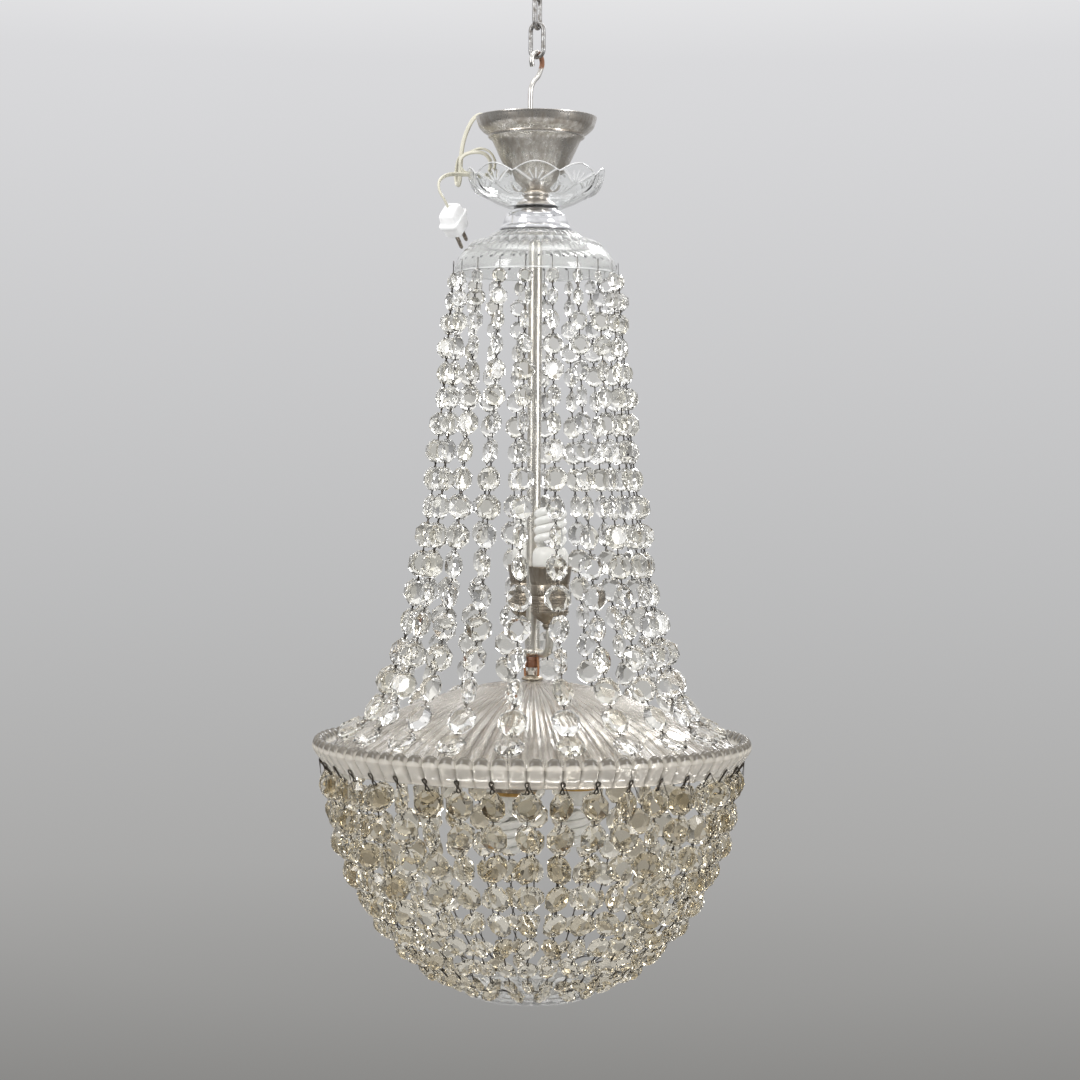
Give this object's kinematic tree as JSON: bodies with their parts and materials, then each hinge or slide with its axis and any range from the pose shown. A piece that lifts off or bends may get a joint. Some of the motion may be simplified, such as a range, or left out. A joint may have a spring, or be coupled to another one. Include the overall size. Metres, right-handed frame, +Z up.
{
  "type": "crystal basket chandelier",
  "caption": "Hanging crystal chandelier: bead strands fall from a glass dome to a ribbed glass plate above a beaded basket, on a chain and hook with a cup canopy.",
  "frame": {"origin": "inner top of the uppermost chain link, where a ceiling hook carries the chandelier", "axes": "+Z up along the chandelier's axis, +X to the right of its front, +Y away from its front"},
  "size_m": [0.439, 0.439, 1.0358],
  "materials": {
    "chain_steel": "grey worn steel wire",
    "hook_zinc": "zinc-white wire, rusty inside the upper bow",
    "nickel": "satin nickel plate",
    "tarnished_silver": "tarnished silver plate, mottled warm grey",
    "cut_glass": "clear cut glass",
    "gasket_rubber": "dull black",
    "bright_chrome": "bright plate",
    "pressed_glass": "clear pressed glass",
    "holder_metal": "aged nickel",
    "brass_fitting": "dull brass",
    "bulb_plastic": "white",
    "bulb_glass": "opal white",
    "brown_insulation": "brown",
    "wire_copper": "red-brown insulation",
    "bronze_washer": "bronze",
    "ribbed_glass": "ribbed, slightly greyed",
    "pin_metal": "dark tarnished wire",
    "clear_crystal": "clear cut crystal",
    "warm_crystal": "cut crystal with a warm tint",
    "cord_plastic": "ivory",
    "plug_plastic": "white",
    "plug_metal": "nickel"
  },
  "bodies": {
    "chain_anchor": {"link_top": "chain_steel"},
    "chain_middle": {"link_middle": "chain_steel"},
    "chain_lower": {"link_lower": "chain_steel"},
    "hook": {"suspension_hook": "hook_zinc"},
    "canopy": {"canopy": "tarnished_silver", "cord_lead": "cord_plastic", "cord_loops": "cord_plastic", "cord_tail": "cord_plastic", "plug_body": "plug_plastic", "plug_pins": "plug_metal"},
    "chandelier": {"basket_pins": "pin_metal", "basket_row_1": "warm_crystal", "basket_row_2": "warm_crystal", "basket_row_3": "warm_crystal", "basket_row_4": "warm_crystal", "basket_row_5": "warm_crystal", "basket_row_6": "warm_crystal", "basket_row_7": "warm_crystal", "basket_row_8": "warm_crystal", "basket_row_9": "warm_crystal", "bottom_dish": "pressed_glass", "bulb_bases": "bulb_plastic", "bulb_spirals": "bulb_glass", "canopy_knob": "tarnished_silver", "central_tube": "nickel", "gasket": "gasket_rubber", "glass_bobeche": "cut_glass", "hanging_eye": "nickel", "insulating_bush": "brown_insulation", "lamp_holders": "holder_metal", "lamp_wires": "wire_copper", "lock_nuts": "nickel", "lower_arms": "brass_fitting", "lower_hub": "nickel", "lower_nipple": "nickel", "plate_washer": "bronze_washer", "ribbed_plate": "ribbed_glass", "stepped_collar": "bright_chrome", "strand_pair_01": "clear_crystal", "strand_pair_02": "clear_crystal", "strand_pair_03": "clear_crystal", "strand_pair_04": "clear_crystal", "strand_pair_05": "clear_crystal", "strand_pair_06": "clear_crystal", "strand_pair_07": "clear_crystal", "strand_pair_08": "clear_crystal", "strand_pair_09": "clear_crystal", "strand_pair_10": "clear_crystal", "strand_pins": "pin_metal", "top_dome": "pressed_glass", "upper_arms": "nickel", "upper_hub": "nickel", "upper_nipple": "nickel"}
  },
  "joints": [
    {"name": "link_middle_swing", "type": "hinge", "parent": "chain_anchor", "child": "chain_middle", "pos_m": [0, 0, -0.03125], "axis": [0.9272, -0.3746, 0], "range_deg": [-20, 20]},
    {"name": "link_lower_swing", "type": "hinge", "parent": "chain_middle", "child": "chain_lower", "pos_m": [0, 0, -0.05995], "axis": [0.3746, 0.9272, 0], "range_deg": [-20, 20]},
    {"name": "hook_swing", "type": "hinge", "parent": "chain_lower", "child": "hook", "pos_m": [0, 0, -0.08865], "axis": [0.9272, -0.3746, 0], "range_deg": [-20, 20]},
    {"name": "chandelier_swing", "type": "hinge", "parent": "hook", "child": "chandelier", "pos_m": [0, 0, -0.1555], "axis": [0.5592, 0.829, 0], "range_deg": [-20, 20]},
    {"name": "canopy_slide", "type": "slide", "parent": "chandelier", "child": "canopy", "axis": [0, 0, 1], "range_m": [0, 0.033]}
  ]
}
